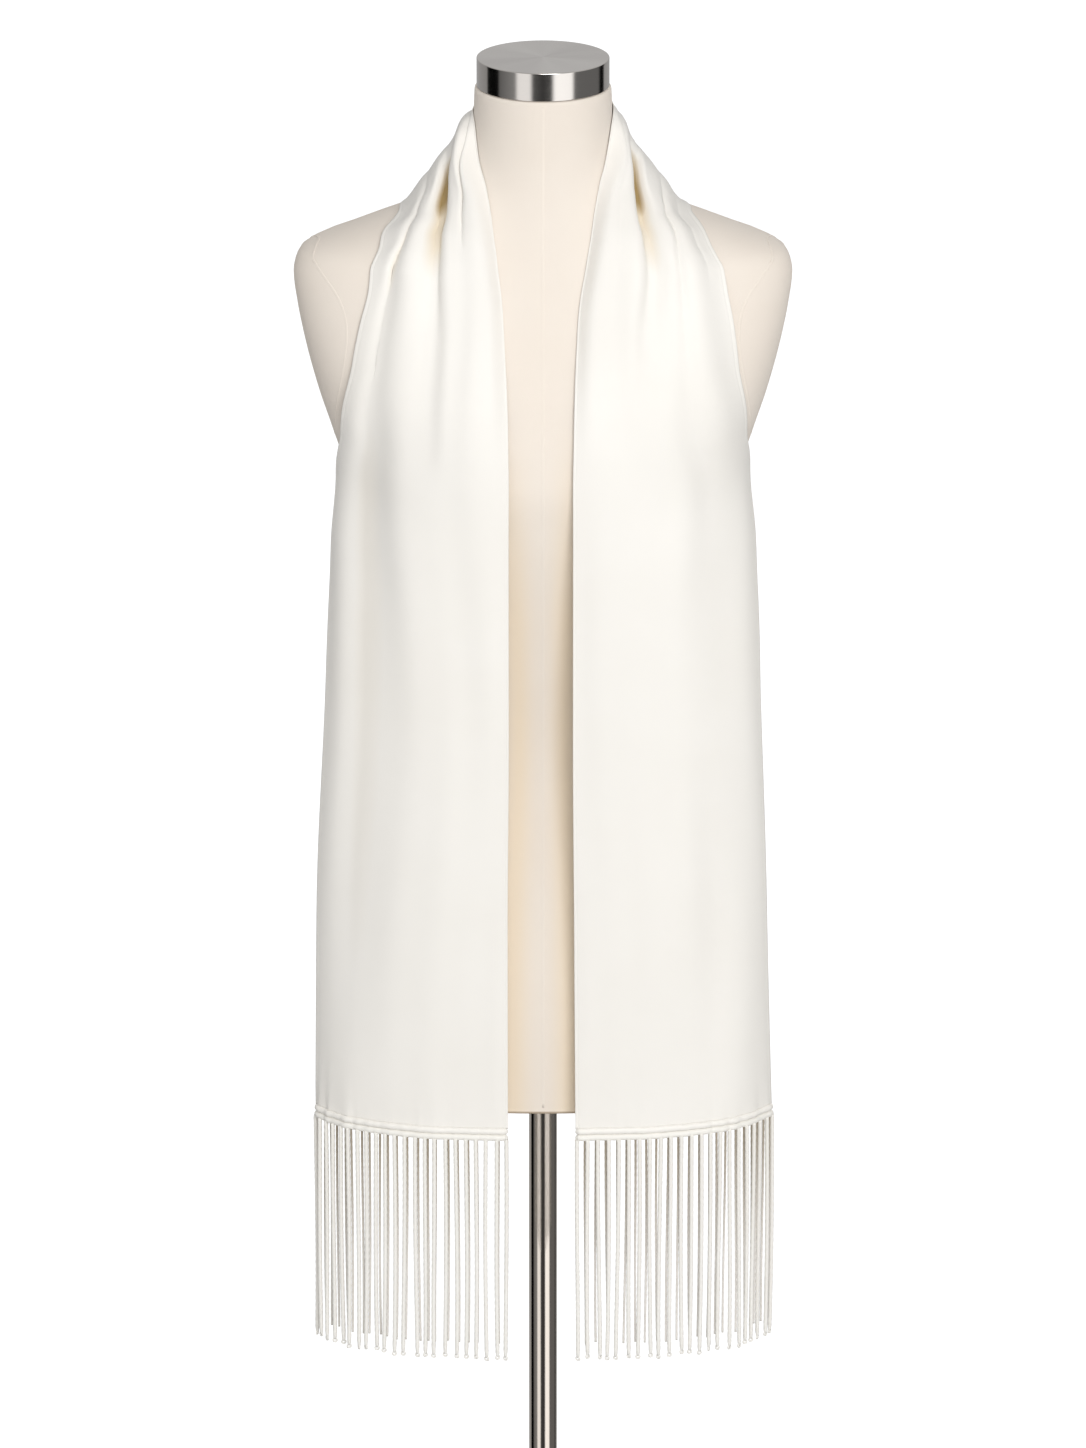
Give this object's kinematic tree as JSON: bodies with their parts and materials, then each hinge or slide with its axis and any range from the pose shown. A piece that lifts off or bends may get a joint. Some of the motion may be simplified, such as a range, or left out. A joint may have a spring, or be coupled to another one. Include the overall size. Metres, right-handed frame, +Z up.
{
  "type": "fringe scarf on dress form",
  "caption": "Long satin scarf with fringed ends, draped round the neck of a limbless dress form on a steel pole and round base plate.",
  "frame": {"origin": "on the floor, under the middle of the base plate and of the form's neck", "axes": "+Z up the pole, +X to the right as seen from the front, +Y to the back of the form"},
  "size_m": [0.383, 0.35, 1.52],
  "materials": {
    "ivory_satin": "smooth ivory satin with a soft sheen",
    "ivory_fringe_cord": "fine twisted ivory cord",
    "form_cover": "matt cream-beige woven cover",
    "brushed_steel": "brushed stainless steel"
  },
  "bodies": {
    "root": {"cloth_fall_left": "ivory_satin", "cloth_neck": "ivory_satin", "cloth_fall_right": "ivory_satin", "hem_left": "ivory_satin", "hem_right": "ivory_satin", "fringe_left": "ivory_fringe_cord", "fringe_right": "ivory_fringe_cord", "form_body": "form_cover", "neck_cap": "brushed_steel", "pole": "brushed_steel", "base_plate": "brushed_steel"}
  },
  "joints": []
}
